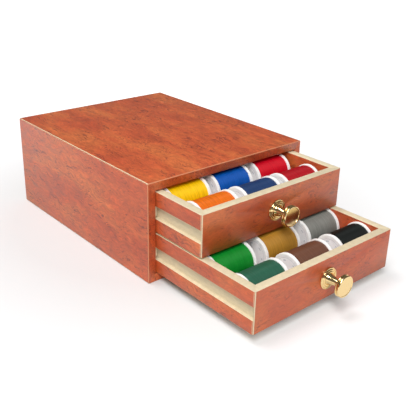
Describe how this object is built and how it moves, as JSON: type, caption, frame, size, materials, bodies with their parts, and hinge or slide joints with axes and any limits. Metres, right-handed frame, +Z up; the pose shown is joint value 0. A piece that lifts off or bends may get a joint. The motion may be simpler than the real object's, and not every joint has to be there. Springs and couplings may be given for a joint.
{
  "type": "embroidery thread drawer box",
  "caption": "Wooden table-top case with two pull-out drawers on side runners, each holding rows of wound thread bobbins and opened by a round brass knob.",
  "frame": {"origin": "middle of the case's underside, where it rests on the table", "axes": "-Y out of the drawer fronts, +X to the right seen from the front, +Z up"},
  "size_m": [0.192, 0.3782, 0.097],
  "materials": {
    "burl_laminate": "glossy printed wood-grain laminate on fibreboard",
    "pale_wood": "bare pale wood, sanded",
    "floor_board": "thin faced fibreboard",
    "brass": "polished brass",
    "steel": "zinc-plated steel",
    "white_plastic": "moulded white plastic",
    "thread_orange": "wound lustrous embroidery thread",
    "thread_navy": "wound lustrous embroidery thread",
    "thread_crimson": "wound lustrous embroidery thread",
    "thread_yellow": "wound lustrous embroidery thread",
    "thread_royal_blue": "wound lustrous embroidery thread",
    "thread_red": "wound lustrous embroidery thread",
    "thread_dark_green": "wound lustrous embroidery thread",
    "thread_brown": "wound lustrous embroidery thread",
    "thread_black": "wound lustrous embroidery thread",
    "thread_green": "wound lustrous embroidery thread",
    "thread_gold": "wound lustrous embroidery thread",
    "thread_grey": "wound lustrous embroidery thread",
    "thread_upper_row_3": "wound lustrous embroidery thread",
    "thread_upper_row_4": "wound lustrous embroidery thread",
    "thread_upper_row_5": "wound lustrous embroidery thread",
    "thread_lower_row_3": "wound lustrous embroidery thread",
    "thread_lower_row_4": "wound lustrous embroidery thread",
    "thread_lower_row_5": "wound lustrous embroidery thread"
  },
  "bodies": {
    "case": {"case_left_side": "burl_laminate", "case_right_side": "burl_laminate", "case_top": "burl_laminate", "case_bottom": "burl_laminate", "case_back": "burl_laminate", "upper_left_runner": "pale_wood", "upper_right_runner": "pale_wood", "lower_left_runner": "pale_wood", "lower_right_runner": "pale_wood"},
    "upper_drawer": {"upper_drawer_front": "burl_laminate", "upper_drawer_back": "burl_laminate", "upper_drawer_left_side": "burl_laminate", "upper_drawer_right_side": "burl_laminate", "upper_drawer_floor": "floor_board", "upper_knob": "brass", "upper_knob_screw": "steel", "upper_orange_bobbin": "white_plastic", "upper_orange_thread": "thread_orange", "upper_navy_bobbin": "white_plastic", "upper_navy_thread": "thread_navy", "upper_crimson_bobbin": "white_plastic", "upper_crimson_thread": "thread_crimson", "upper_yellow_bobbin": "white_plastic", "upper_yellow_thread": "thread_yellow", "upper_royal_blue_bobbin": "white_plastic", "upper_royal_blue_thread": "thread_royal_blue", "upper_red_bobbin": "white_plastic", "upper_red_thread": "thread_red", "upper_stored_bobbins": "white_plastic", "upper_stored_thread_row_3": "thread_upper_row_3", "upper_stored_thread_row_4": "thread_upper_row_4", "upper_stored_thread_row_5": "thread_upper_row_5"},
    "lower_drawer": {"lower_drawer_front": "burl_laminate", "lower_drawer_back": "burl_laminate", "lower_drawer_left_side": "burl_laminate", "lower_drawer_right_side": "burl_laminate", "lower_drawer_floor": "floor_board", "lower_knob": "brass", "lower_knob_screw": "steel", "lower_dark_green_bobbin": "white_plastic", "lower_dark_green_thread": "thread_dark_green", "lower_brown_bobbin": "white_plastic", "lower_brown_thread": "thread_brown", "lower_black_bobbin": "white_plastic", "lower_black_thread": "thread_black", "lower_green_bobbin": "white_plastic", "lower_green_thread": "thread_green", "lower_gold_bobbin": "white_plastic", "lower_gold_thread": "thread_gold", "lower_grey_bobbin": "white_plastic", "lower_grey_thread": "thread_grey", "lower_stored_bobbins": "white_plastic", "lower_stored_thread_row_3": "thread_lower_row_3", "lower_stored_thread_row_4": "thread_lower_row_4", "lower_stored_thread_row_5": "thread_lower_row_5"}
  },
  "joints": [
    {"name": "upper_drawer_slide", "type": "slide", "parent": "case", "child": "upper_drawer", "axis": [0, -1, 0], "range_m": [-0.06, 0.09]},
    {"name": "lower_drawer_slide", "type": "slide", "parent": "case", "child": "lower_drawer", "axis": [0, -1, 0], "range_m": [-0.123, 0.027]}
  ]
}
